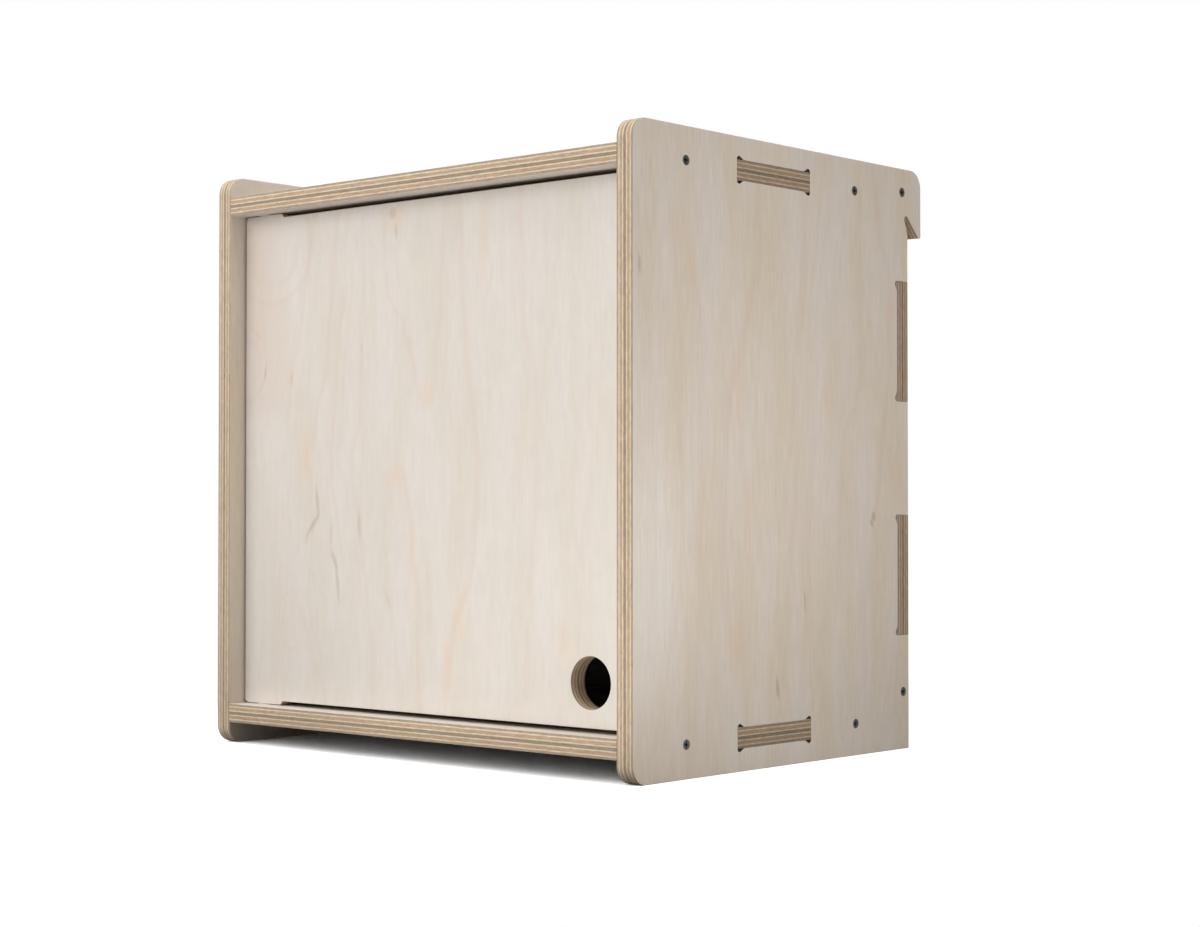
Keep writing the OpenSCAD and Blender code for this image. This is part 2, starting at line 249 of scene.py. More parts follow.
def ply_edge(tree, sheet, depth):
    """Colour of a sawn edge: nine plies over the thickness, mottled and streaked along the edge."""
    streak = pressed_noise(tree, sheet, 20, 0.6, 3.0)
    mottle = pressed_noise(tree, sheet, 4.5, 0.8, 2.0)
    dash = rise_between(tree, pressed_noise(tree, sheet, 2.4, 0.5, 2.0), 0.52, 0.68)
    wobble = calc(tree, "MULTIPLY_ADD", streak, 0.012, -0.006)
    level = calc(tree, "MULTIPLY_ADD", depth, 1 / (sheet_t / MM), wobble)
    plies = add_node(tree, "ShaderNodeValToRGB", {0: level})
    stops = plies.color_ramp.elements
    blur = 0.004
    reach = 0.0
    thickness = 2 * outer_ply_t + 3 * dark_ply_t + 4 * light_ply_t
    for order, colour in enumerate(ply_colours):
        start = reach + blur
        inner_ply_t = light_ply_t if order % 2 else dark_ply_t
        reach += (inner_ply_t if 0 < order < len(ply_colours) - 1 else outer_ply_t) / thickness
        for place in (start, reach - blur):
            stop = stops.new(place)
            stop.color = srgb(*colour)
    stops.remove(stops[0])
    stops.remove(stops[-1])
    from_core = calc(tree, "ABSOLUTE", calc(tree, "SUBTRACT", level, 0.5))
    core = calc(tree, "SUBTRACT", 1.0, rise_between(tree, from_core, 0.06, 0.08))
    fleck = calc(tree, "MULTIPLY", dash, calc(tree, "MULTIPLY_ADD", core, 0.2, 0.12))
    colour = lay_over(tree, fleck, plies.outputs[0], srgb(104, 88, 70))
    shade = calc(tree, "MULTIPLY", rise_between(tree, streak, 0.45, 0.7), 0.16)
    colour = lay_over(tree, shade, colour, srgb(136, 112, 90))
    uneven = calc(tree, "MULTIPLY_ADD", mottle, 0.8, 0.6)
    return lay_over(tree, 1.0, colour, uneven, "MULTIPLY"), streak


def growth_line(tree, sheet, width, echo, points):
    """One line of late wood: 1 along a smooth curve through points of (across, along), from the top down.

    It rises over its width on one side of the curve and falls over half of that on the other. Echoes of it
    follow on both sides as a wave that fades over four widths, and all die out towards the line's ends.
    """
    across, along = np.array(points, float).T
    low, span, length = across.min(), np.ptp(across) + 1.0, np.ptp(along)
    axes = add_node(tree, "ShaderNodeSeparateXYZ", {0: sheet}).outputs
    share = calc(tree, "MULTIPLY_ADD", axes[1], -1 / length, along[0] / length)
    curve = add_node(tree, "ShaderNodeFloatCurve", {1: share})
    knots = curve.mapping.curves[0].points
    places = np.stack([(along[0] - along) / length, (across - low) / span], axis=1)
    knots[0].location, knots[1].location = places[0], places[-1]
    for place in places[1:-1]:
        knots.new(*place)
    curve.mapping.update()
    offset = calc(tree, "SUBTRACT", axes[0], calc(tree, "MULTIPLY_ADD", curve.outputs[0], span, low))
    rising = rise_between(tree, offset, -width, 0.0)
    line = calc(tree, "SUBTRACT", rising, rise_between(tree, offset, 0.0, width / 2))
    wave = calc(tree, "SINE", calc(tree, "MULTIPLY", offset, 2 * math.pi / (1.5 * width)))
    away = rise_between(tree, calc(tree, "ABSOLUTE", offset), width, 4 * width)
    echoes = calc(tree, "MULTIPLY", calc(tree, "SUBTRACT", 1.0, away), calc(tree, "MAXIMUM", wave, 0.0))
    lines = calc(tree, "MULTIPLY_ADD", echoes, echo, line)
    begun = rise_between(tree, share, 0.0, 0.12)
    ends = calc(tree, "SUBTRACT", begun, rise_between(tree, share, 0.88, 1.0))
    return calc(tree, "MULTIPLY", lines, ends)


def knot_rings(tree, sheet, across, along, half_width, half_length):
    """Oval growth rings about a knot: a wave of the distance from its middle, strongest at the outer ring."""
    turn = {"Vector": sheet, "Location": (across, along, 0), "Scale": (half_width, half_length, 1000)}
    near = add_node(tree, "ShaderNodeMapping", turn, vector_type="TEXTURE").outputs[0]
    distance = add_node(tree, "ShaderNodeVectorMath", {0: near}, operation="LENGTH").outputs["Value"]
    wave = calc(tree, "MAXIMUM", calc(tree, "COSINE", calc(tree, "MULTIPLY", distance, 6 * math.pi)), 0.0)
    grown = rise_between(tree, distance, 0.3, 0.9)
    reach = calc(tree, "SUBTRACT", grown, rise_between(tree, distance, 1.0, 1.3))
    return calc(tree, "MULTIPLY", wave, reach)


white_birch = srgb(215, 208, 200), srgb(212, 204, 192)
cream_birch = srgb(220, 209, 197), srgb(217, 203, 183)
late_wood = srgb(200, 158, 138)
peach_stain = srgb(226, 186, 150)
dark_stroke = srgb(140, 102, 62)
pale_wood = srgb(238, 230, 219)
# Dark grey that the tenon tips are mixed towards.
tip_tone = srgb(78, 74, 70)
# Near black for the painted shade in the mortises and notches.
slot_shade = srgb(44, 34, 26)
face_depth = 0.12
veneer_run = 700.0
pale_strength = 0.5
stain_strength = 0.32
mottle_strength = 0.085
board_fibres = 0.1
side_fibres = 0.22


def birch_ply(name, node, axes, seed, veneer=white_birch, fibres=board_fibres, shown=False, **figure):
    """Birch plywood that reads its place in the sheet in millimetres: across, along the grain, and through.

    The face is rotary-cut veneer of two close tones. Faint growth rings are the contour lines of a slow field
    that climbs across the sheet. The figure lies over them: lines of late wood, knots, pale places, stains
    and strokes, each at its own place. Fibres run over all. The other face is read further along the veneer,
    so it has no figure; shown says that the figure is on the face with the higher place through the sheet.
    Under the face lie the plies of the sawn edge, deeper in tone on tenon tips. In slots the sawn walls
    are darkened nearly to black, a painted shade for the deep shade in the mortise reliefs and gaps.
    """
    low, high = (np.array(corner) @ axes[2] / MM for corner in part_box(node))
    material = bpy.data.materials.new(name)
    material.use_nodes = True
    tree = material.node_tree
    shader = tree.nodes["Principled BSDF"]
    place = add_node(tree, "ShaderNodeTexCoord").outputs["Object"]
    reading = {k: add_node(tree, "ShaderNodeVectorMath", {0: place, 1: axis / MM}, operation="DOT_PRODUCT")
               for k, axis in enumerate(axes)}
    reading = {k: made.outputs["Value"] for k, made in reading.items()}
    sheet = add_node(tree, "ShaderNodeCombineXYZ", reading).outputs[0]
    depth = calc(tree, "SUBTRACT", reading[2], low)
    under_face = calc(tree, "MINIMUM", depth, calc(tree, "SUBTRACT", high, reading[2]))
    inside = calc(tree, "GREATER_THAN", under_face, face_depth)
    other_face = calc(tree, "LESS_THAN" if shown else "GREATER_THAN", depth, (high - low) / 2)
    across = calc(tree, "MULTIPLY_ADD", other_face, veneer_run, reading[0])
    face = add_node(tree, "ShaderNodeCombineXYZ", {0: across, 1: reading[1]}).outputs[0]

    swing = grain_noise(tree, face, 95, 420, seed, 1.5)
    field = calc(tree, "MULTIPLY_ADD", swing, 7.0, calc(tree, "DIVIDE", across, 18))
    phase = calc(tree, "FRACT", field)
    ring = calc(tree, "SUBTRACT", rise_between(tree, phase, 0.3, 0.8), rise_between(tree, phase, 0.85, 1.0))
    ring_strength = calc(tree, "MULTIPLY_ADD", grain_noise(tree, face, 30, 140, seed + 5), 0.18, -0.06)
    fibre = grain_noise(tree, face, 0.9, 26, seed + 11, 3.0)
    tone = grain_noise(tree, face, 22, 110, seed + 23, 0.5)
    stain = rise_between(tree, grain_noise(tree, face, 17, 60, seed + 31), 0.58, 0.82)
    cloud = grain_noise(tree, face, 5, 14, seed + 37)
    sway = calc(tree, "MULTIPLY_ADD", grain_noise(tree, face, 14, 34, seed + 43, 1.0), 6, -3)

    colour = lay_over(tree, rise_between(tree, tone, 0.2, 0.8), *veneer)
    colour = lay_over(tree, calc(tree, "MULTIPLY", stain, 0.06), colour, peach_stain)
    colour = lay_over(tree, calc(tree, "MULTIPLY", ring, ring_strength, clamp=True), colour, late_wood)
    drift = add_node(tree, "ShaderNodeCombineXYZ", {0: sway}).outputs[0]
    swayed = add_node(tree, "ShaderNodeVectorMath", {0: face, 1: drift}, operation="ADD").outputs[0]
    uneven = calc(tree, "MULTIPLY_ADD", cloud, 1.2, 0.4)
    for spot in figure.get("pale", ()):
        bleached = rise_between(tree, soft_spot(tree, face, *spot), 0.0, 0.7)
        bleached = calc(tree, "MULTIPLY", bleached, pale_strength)
        colour = lay_over(tree, bleached, colour, pale_wood)
    for strength, *course in figure.get("lines", ()):
        drawn = calc(tree, "MULTIPLY", uneven, strength)
        drawn = calc(tree, "MULTIPLY", growth_line(tree, swayed, *course), drawn)
        colour = lay_over(tree, drawn, colour, late_wood)
    for strength, *oval in figure.get("knots", ()):
        drawn = calc(tree, "MULTIPLY", uneven, strength)
        drawn = calc(tree, "MULTIPLY", knot_rings(tree, swayed, *oval), drawn)
        colour = lay_over(tree, drawn, colour, late_wood)
    for spot in figure.get("patches", ()):
        stained = calc(tree, "MULTIPLY", uneven, stain_strength)
        stained = calc(tree, "MULTIPLY", soft_spot(tree, swayed, *spot), stained)
        colour = lay_over(tree, stained, colour, peach_stain)
    for strength, *spot in figure.get("strokes", ()):
        marked = rise_between(tree, soft_spot(tree, face, *spot), 0.0, 0.6)
        marked = calc(tree, "MULTIPLY", marked, strength)
        colour = lay_over(tree, marked, colour, dark_stroke)
    grain = calc(tree, "MULTIPLY_ADD", calc(tree, "SUBTRACT", fibre, 0.5), fibres, 1.0)
    grain = calc(tree, "MULTIPLY_ADD", calc(tree, "SUBTRACT", cloud, 0.5), mottle_strength, grain)
    colour = lay_over(tree, 1.0, colour, grain, "MULTIPLY")

    edge, edge_streak = ply_edge(tree, sheet, depth)
    # Tenon tips are drawn darker than the other sawn edges: a deeper gamma and a mix towards dark grey.
    for axis, reach in figure.get("tenons", ()):
        tip = rise_between(tree, calc(tree, "ABSOLUTE", reading[axis]), reach, reach + 2)
        deeper = calc(tree, "MULTIPLY_ADD", tip, 0.18, 1.0)
        edge = add_node(tree, "ShaderNodeGamma", {0: edge, 1: deeper}).outputs[0]
        edge = lay_over(tree, calc(tree, "MULTIPLY", tip, 0.2), edge, tip_tone)
    # Painted shade: sawn walls in each slot's oval go nearly black, for deep shade in reliefs and gaps.
    for spot in figure.get("slots", ()):
        painted_shade = rise_between(tree, soft_spot(tree, sheet, *spot), 0.0, 0.1)
        edge = lay_over(tree, calc(tree, "MULTIPLY", painted_shade, 0.75), edge, slot_shade)
    tree.links.new(lay_over(tree, inside, colour, edge), shader.inputs["Base Color"])
    rough = calc(tree, "MULTIPLY_ADD", fibre, 0.16, 0.5)
    tree.links.new(calc(tree, "MULTIPLY_ADD", inside, 0.14, rough), shader.inputs["Roughness"])
    height = {"Factor": inside, "A": fibre, "B": edge_streak}
    relief = add_node(tree, "ShaderNodeMix", height).outputs[0]
    bump = {"Height": relief, "Strength": 0.25, "Distance": 0.06 * MM}
    tree.links.new(add_node(tree, "ShaderNodeBump", bump).outputs[0], shader.inputs["Normal"])
    shader.inputs["Specular IOR Level"].default_value = 0.3
    return material


def fit(piece, material, body, slot, *nodes):
    """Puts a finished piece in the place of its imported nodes, on the body that carries it."""
    piece.data.materials.append(material)
    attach(piece, body)
    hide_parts(*nodes)


def notch_corners(y_open, y_floor, z_low, z_high):
    """Open notch in a rear edge, from below: its inner corners run past the floor as round reliefs."""
    deep = y_floor - relief_reach
    return [(y_open, z_low, 0), (deep, z_low, cutter_r), (y_floor, z_low + relief_run, 0),
            (y_floor, z_high - relief_run, 0), (deep, z_high, cutter_r), (y_open, z_high, 0)]


def mortise_corners(y_mid, z_mid):
    """Closed slot for a board's tenon, with round reliefs past its long edges at all four corners."""
    half = board_tenon_len / 2 + tenon_gap
    rise = sheet_t / 2 + tenon_gap
    lower = [(-half, -rise - relief_reach, cutter_r), (relief_run - half, -rise, 0)]
    lower += [(half - relief_run, -rise, 0), (half, -rise - relief_reach, cutter_r)]
    upper = [(-y, -z, r) for y, z, r in lower]
    return np.array(lower + upper) + (y_mid, z_mid, 0)


def hook_corners(y_rear, y_hook):
    """Hook from its notch's foot to its top. The notch's round end touches its rear wall and the bevel."""
    tip = np.array([y_hook - hook_tip_w, cabinet_h - hook_drop])
    foot = np.array([y_rear, tip[1] + notch_rise])
    centre_y = y_rear - notch_undercut + cutter_r
    centre = np.array([centre_y, tip.sum() - math.sqrt(2) * cutter_r - centre_y])
    reach = np.hypot(*(centre - foot))
    lean = np.arctan2(*(centre - foot)[::-1]) + np.arcsin(cutter_r / reach)
    rear_wall = np.array([np.cos(lean), np.sin(lean)])
    deep = foot + rear_wall * (tip.sum() - foot.sum()) / rear_wall.sum()
    nose = [(*tip, 0), (y_hook, tip[1], hook_tip_r), (y_hook, cabinet_h, corner_r)]
    return [(*foot, 0), (*deep, cutter_r), *nose]


def head_places(node):
    """The two screw heads of a group on a side panel, in Y and Z, from the group's own box."""
    low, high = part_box(node)
    return [(low.y + head_r, low.z + head_r), (high.y - head_r, high.z - head_r)]


head_cone = head_r - shank_r
countersink = np.array([(hole_arris, 0), (0, hole_arris), (0, head_sink),
                        (-head_cone, head_sink + head_cone), (-head_cone, sheet_t)])
y_rear, y_back = back_high.y, back_low.y
z_mid = cabinet_h / 2
rear_corners = [(y_rear, 0, 0)]
for z_tenon in (z_mid - back_tenon_offset - back_tenon_h, z_mid + back_tenon_offset):
    z_notch_top = z_tenon + back_tenon_h + tenon_gap
    rear_corners += notch_corners(y_rear, y_back - tenon_gap, z_tenon - tenon_gap, z_notch_top)
front_corners = [(side_low.y, cabinet_h, corner_r), (side_low.y, 0, corner_r)]
side_rim = rounded_outline(rear_corners + hook_corners(y_rear, side_high.y) + front_corners)
right_lines = [
    (0.1, 7, 0.2, [(-96, 316), (-90, 288), (-83, 245), (-82, 200), (-83, 150), (-82, 110), (-86, 65),
                   (-90, -15)]),
    (0.13, 9, 0.1, [(-32, 370), (-28, 305), (-35, 275), (-50, 231), (-59, 200), (-61, 140), (-59, 101),
                    (-50, 50)]),
    (0.1, 7, 0.2, [(15, 375), (16, 300), (12, 264), (6, 235), (6, 205), (8, 181), (3, 135), (-3, 75),
                   (-13, 30)]),
    (0.09, 5, 0.3, [(25, 222), (23, 160), (21, 125), (17, 85), (9, 30)]),
    (0.08, 6, 0.2, [(71, 390), (74, 285), (75, 250), (70, 218), (57, 190), (52, 130), (52, 80)]),
    (0.1, 8, 0.2, [(82, 390), (98, 318), (107, 285), (107, 250), (100, 205), (92, 150), (90, 100)]),
    (0.08, 6, 0.3, [(70, 175), (72, 128), (78, 83), (77, 40), (76, -20)]),
    (0.07, 5, 0.4, [(-114, 255), (-104, 228), (-100, 195), (-100, 128), (-107, 85), (-118, 40),
                    (-134, -10)]),
    (0.07, 5, 0.4, [(-130, 280), (-127, 225), (-123, 165), (-124, 110), (-134, 70)])]
right_patches = [(-104, 309, 16, 24), (-90, 290, 9, 26), (-47, 218, 12, 40), (38, 218, 15, 19),
                 (-50, 72, 17, 28), (-38, 150, 8, 50), (107, 278, 9, 34), (112, 172, 8, 26)]
right_strokes = [(0.36, -11, 46, 3.0, 13, 8), (0.36, 88, 147, 4.4, 6, 0), (0.36, 86, 143, 2.6, 5, 30),
                 (0.3, 16, 96, 1.6, 14, 3), (0.3, -136, 287, 2.4, 11, 2)]
right_pale = [(-128, 120, 75, 150)]
right_figure = {"lines": right_lines, "patches": right_patches, "strokes": right_strokes, "pale": right_pale}
side_figure = {"left": {}, "right": right_figure}
back_tenon_zs = [z_mid + side * (back_tenon_offset + back_tenon_h / 2) for side in (-1, 1)]

for hand, outward in (("left", -X), ("right", X)):
    panel = f"{hand}_side_panel"
    cuts = [(side_rim, sanded_wall(sheet_t), True)]
    slots = [(y_back / MM, z_tenon / MM, 12, 60) for z_tenon in back_tenon_zs]
    for board in ("bottom_board", "top_board"):
        board_low, board_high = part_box(board)
        board_y, board_z = (board_low.y + board_high.y) / 2, (board_low.z + board_high.z) / 2
        slot = mortise_corners(board_y, board_z)
        cuts.append((rounded_outline(slot), sanded_wall(sheet_t, mortise_arris), True))
        slots.append((board_y / MM, board_z / MM, 60, 24))
    for row in ("top", "bottom", "back"):
        for spot in head_places(f"{hand}_{row}_screws"):
            cuts.append((ring_outline(spot, head_r), countersink, True))
    upright = sawn_panel(f"{hand}_upright", cuts, outward * side_high.x, Y, Z, -outward)
    seed = 3.0 if hand == "left" else 8.0
    ply = birch_ply(f"birch_{hand}_side", panel, (Y, Z, X), seed, cream_birch, side_fibres, hand == "right",
                    slots=slots, **side_figure[hand])
    fit(upright, ply, "cabinet", "birch_plywood", panel)


# Top and bottom boards. Plywood shelves that run between the side panels. One tenon at each end goes right
# through its mortise and shows its plies outside, and a blind bore near the hinge side holds a pivot bush.
bush_clearance = 0.5 * MM
bush_arris = 0.2 * MM
bush_low, bush_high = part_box("upper_pivot_bush")
bush_r = (bush_high.x - bush_low.x) / 2
bush_middle = np.array((bush_low + bush_high) / 2)[:2]
bush_depth = bush_high.z - bush_low.z + bush_clearance
bush_bore = np.array([(bush_arris, 0), (0, bush_arris), (0, bush_depth)])

for board, inner_face in (("bottom_board", 1), ("top_board", 0)):
    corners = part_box(board)
    board_low, board_high = corners
    x_end = board_high.x - sheet_t
    y_mid = (board_low.y + board_high.y) / 2
    tenon = board_tenon_len / 2
    half_rim = [(x_end, board_low.y), (x_end, y_mid - tenon), (board_high.x, y_mid - tenon),
                (board_high.x, y_mid + tenon), (x_end, y_mid + tenon), (x_end, board_high.y)]
    rim = half_rim + [(-x, y) for x, y in reversed(half_rim)]
    rim = rounded_outline([(x, y, 0) for x, y in rim])
    cuts = [(rim, sanded_wall(sheet_t), True), (ring_outline(bush_middle, bush_r), bush_bore, False)]
    face = Z * corners[inner_face].z
    shelf = sawn_panel(f"{board}_shelf", cuts, face, X, Y, Z if inner_face == 0 else -Z)
    ply = birch_ply(f"birch_{board}", board, (Y, X, Z), 14.0 + 5 * inner_face, tenons=[(1, x_end / MM)])
    fit(shelf, ply, "cabinet", "birch_plywood", board)


# Back panel. One plywood sheet behind the boards, as high as the side panels, so that it also closes the
# tray above the top board. Two tenons on each side lie in the notches of the side panels.
x_back = back_high.x - sheet_t
tenon_low = z_mid - back_tenon_offset - back_tenon_h
tenon_high = z_mid + back_tenon_offset
half_rim = [(x_back, back_low.z)]
for z_tenon in (tenon_low, tenon_high):
    half_rim += [(x_back, z_tenon), (back_high.x, z_tenon), (back_high.x, z_tenon + back_tenon_h),
                 (x_back, z_tenon + back_tenon_h)]
half_rim.append((x_back, back_high.z))
rim = half_rim + [(-x, z) for x, z in reversed(half_rim)]
rim = rounded_outline([(x, z, 0) for x, z in rim])
back_sheet = sawn_panel("back_sheet", [(rim, sanded_wall(sheet_t), True)], Y * back_low.y, X, Z, Y)
ply = birch_ply("birch_back", "back_panel", (X, Z, Y), 27.0, tenons=[(0, x_back / MM)])
fit(back_sheet, ply, "cabinet", "birch_plywood", "back_panel")


# Screws. Dark zinc-plated countersunk wood screws with a cross recess, driven through the side panels into
# the boards and the back, and through the stop strip into the right side panel.
recess_reach = 1.75 * MM
recess_half_w = 0.5 * MM
recess_depth = 1.9 * MM
recess_side_slope = 0.18 * MM
recess_end_slope = 0.5 * MM
head_arris = 0.12 * MM
thread_pitch = 1.35 * MM
thread_depth = 0.42 * MM
tip_len = 4 * MM


def wood_screw(head, aim, side, length):
    """Points and faces of a screw from its head's middle along its aim, on a grid of turn and profile place.

    The head's top is a disc lowered inside a cross whose arms narrow downwards. Its rim falls as a cone to
    the shank, whose radius rises to a sharp crest where place and turn agree on a whole number of pitches.
    """
    turns = 64
    turn = np.linspace(0, 2 * np.pi, turns, endpoint=False)[None]
    disc = np.linspace(0.04, 1, 22)[:, None] * (head_r - head_arris)
    reach = np.abs(np.stack([np.cos(turn), np.sin(turn)])) * disc
    long_way, short_way = reach.max(0), reach.min(0)
    arm_sides = np.clip((recess_half_w - short_way) / recess_side_slope, 0, 1)
    arm_ends = np.clip((recess_reach - long_way) / recess_end_slope, 0, 1)
    wall = arm_sides * arm_ends
    top = [np.broadcast_to(disc, wall.shape), wall * recess_depth]
    rim_depth = np.array([0.05, 0.16])[:, None] * MM
    rim = [np.full((2, turns), head_r - 0.03 * MM), np.broadcast_to(rim_depth, (2, turns))]
    place = np.linspace(head_cone, length - 0.02 * MM, 100)[:, None]
    taper = np.clip((length - place) / tip_len, 0, 1)
    saw = np.abs(((place / thread_pitch - turn / (2 * np.pi)) % 1) * 2 - 1)
    crest = np.clip((saw - 0.45) / 0.55, 0, 1)
    cut = np.clip((place - head_cone) / (2 * MM), 0, 1) * thread_depth
    shank = [(shank_r - cut * (1 - crest)) * taper, np.broadcast_to(place, saw.shape)]
    radius, depth = (np.concatenate(part) for part in zip(top, rim, shank))
    up = np.cross(aim, side)
    spoke = np.cos(turn)[..., None] * side + np.sin(turn)[..., None] * up
    grid = depth[..., None] * aim + radius[..., None] * spoke
    poles = np.stack([aim * recess_depth, aim * length])
    points = np.asarray(head) + np.concatenate([grid.reshape(-1, 3), poles])
    index = np.arange(radius.size).reshape(radius.shape)
    turned = np.roll(index, -1, axis=1)
    quads = np.stack([index[:-1], turned[:-1], turned[1:], index[1:]], axis=-1).reshape(-1, 4).tolist()
    first = np.stack([turned[0], index[0], np.full(turns, radius.size)], axis=1).tolist()
    last = np.stack([index[-1], turned[-1], np.full(turns, radius.size + 1)], axis=1).tolist()
    return points, quads + first + last


def screw_group(name, screws):
    """Several screws as one object."""
    points, faces, count = [], [], 0
    for place, ring in screws:
        points.append(place)
        faces += [[corner + count for corner in face] for face in ring]
        count += len(place)
    return solid(name, np.concatenate(points), faces)


def plated_metal(name, colour, worn, roughness, mark):
    """Plated or ground metal: a cloudy finish of two close colours, with fine lines by a pressed noise."""
    material = bpy.data.materials.new(name)
    material.use_nodes = True
    tree = material.node_tree
    shader = tree.nodes["Principled BSDF"]
    place = add_node(tree, "ShaderNodeTexCoord").outputs["Object"]
    haze = {"Vector": place, "Scale": 900.0, "Detail": 3.0}
    cloud = add_node(tree, "ShaderNodeTexNoise", haze).outputs[0]
    lined = add_node(tree, "ShaderNodeVectorMath", {0: place, 1: mark}, operation="MULTIPLY").outputs[0]
    line = add_node(tree, "ShaderNodeTexNoise", {"Vector": lined, "Scale": 1.0, "Detail": 2.0}).outputs[0]
    plating = lay_over(tree, rise_between(tree, cloud, 0.35, 0.7), colour, worn)
    tree.links.new(plating, shader.inputs["Base Color"])
    rough = calc(tree, "MULTIPLY_ADD", line, 0.2, roughness - 0.1)
    tree.links.new(rough, shader.inputs["Roughness"])
    bump = {"Height": line, "Strength": 0.2, "Distance": 0.02 * MM}
    tree.links.new(add_node(tree, "ShaderNodeBump", bump).outputs[0], shader.inputs["Normal"])
    shader.inputs["Metallic"].default_value = 1.0
    return material


dark_zinc = plated_metal("dark_zinc", srgb(73, 73, 73), srgb(85, 84, 83), 0.45, (3000, 3000, 3000))
for hand, inward in (("left", X), ("right", -X)):
    for row in ("top", "bottom", "back"):
        node = f"{hand}_{row}_screws"
        low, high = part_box(node)
        x_head = low.x if hand == "left" else high.x
        screws = [wood_screw((x_head, y, z), inward, Y, high.x - low.x) for y, z in head_places(node)]
        fit(screw_group(f"{hand}_{row}_wood_screws", screws), dark_zinc, "cabinet", "zinc_screw", node)

low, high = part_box("door_stop_screws")
stop_screw_zs = np.linspace(low.z + head_r, high.z - head_r, 3)
screws = [wood_screw((low.x, (low.y + high.y) / 2, z), X, Y, high.x - low.x) for z in stop_screw_zs]
fit(screw_group("stop_wood_screws", screws), dark_zinc, "cabinet", "zinc_screw", "door_stop_screws")


# Stop strip and magnets. A plywood strip screwed to the right side panel, which the closed door meets. Two
# nickel-plated disc magnets are pressed into its front face and hold the door shut.
def dress(node, material):
    """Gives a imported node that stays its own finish."""
    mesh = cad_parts[node].data
    mesh.materials.clear()
    mesh.materials.append(material)


dress("door_stop", birch_ply("birch_stop", "door_stop", (X, Z, Y), 33.0))
nickel_plate = plated_metal("nickel_plate", srgb(196, 193, 187), srgb(182, 178, 170), 0.22, (700, 700, 2600))
for level in ("upper", "lower"):
    dress(f"{level}_catch_magnet", nickel_plate)


# Pivots. Turned brass bushes pressed into the boards, nylon washers that carry the door's ears, and ground
# steel pins in the door's edge that turn in the bushes.
turned_brass = plated_metal("turned_brass", srgb(203, 168, 98), srgb(186, 148, 84), 0.3, (120, 120, 5200))
ground_steel = plated_metal("ground_steel", srgb(178, 179, 181), srgb(160, 162, 165), 0.28, (150, 150, 6000))


def moulded_nylon(name):
    """Natural nylon: milky, with a faint moulded mottle."""
    material = bpy.data.materials.new(name)
    material.use_nodes = True
    tree = material.node_tree
    shader = tree.nodes["Principled BSDF"]
    place = add_node(tree, "ShaderNodeTexCoord").outputs["Object"]
    noise = {"Vector": place, "Scale": 600.0, "Detail": 2.0}
    mottle = add_node(tree, "ShaderNodeTexNoise", noise).outputs[0]
    milky = lay_over(tree, mottle, srgb(238, 235, 224), srgb(228, 224, 212))
    tree.links.new(milky, shader.inputs["Base Color"])
    tree.links.new(calc(tree, "MULTIPLY_ADD", mottle, 0.2, 0.35), shader.inputs["Roughness"])
    return material


washer_nylon = moulded_nylon("washer_nylon")
for level in ("upper", "lower"):
    dress(f"{level}_pivot_bush", turned_brass)
    dress(f"{level}_pivot_washer", washer_nylon)
    dress(f"{level}_pivot_pin", ground_steel)


# Door. One plywood sheet set back between the side panels. Two ears with sloping shoulders reach up and down
# to the boards at the hinge side, and a round finger hole near the free lower corner opens it.
ear_w = 35 * MM
ear_rise = 2.4 * MM
ear_r = 3 * MM
finger_r = 15 * MM
finger_arris = 0.5 * MM
finger_edge = 28.5 * MM
finger_rise = 25.5 * MM
strike_seat = 0.02 * MM

door_low, door_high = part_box("door_panel")
z_door_low = door_low.z + ear_rise
z_door_high = door_high.z - ear_rise
x_ear = door_low.x + ear_w
door_rim = rounded_outline([
    (door_low.x, door_low.z, ear_r), (x_ear, door_low.z, 0), (x_ear + ear_rise, z_door_low, 0),
    (door_high.x, z_door_low, 0), (door_high.x, z_door_high, 0), (x_ear + ear_rise, z_door_high, 0),
    (x_ear, door_high.z, 0), (door_low.x, door_high.z, ear_r)])
finger = ring_outline((door_high.x - finger_edge, z_door_low + finger_rise), finger_r, 96)
door_cuts = [(door_rim, sanded_wall(sheet_t), True), (finger, sanded_wall(sheet_t, finger_arris), True)]
for level in ("upper", "lower"):
    plate_low, plate_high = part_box(f"{level}_strike_plate")
    middle = (plate_low + plate_high) / 2
    seat = ring_outline((middle.x, middle.z), (plate_high.x - plate_low.x) / 2 + strike_seat)
    seat_wall = np.array([(hole_arris, 0), (0, hole_arris), (0, plate_high.y - plate_low.y)])
    door_cuts.append((seat, seat_wall, False))
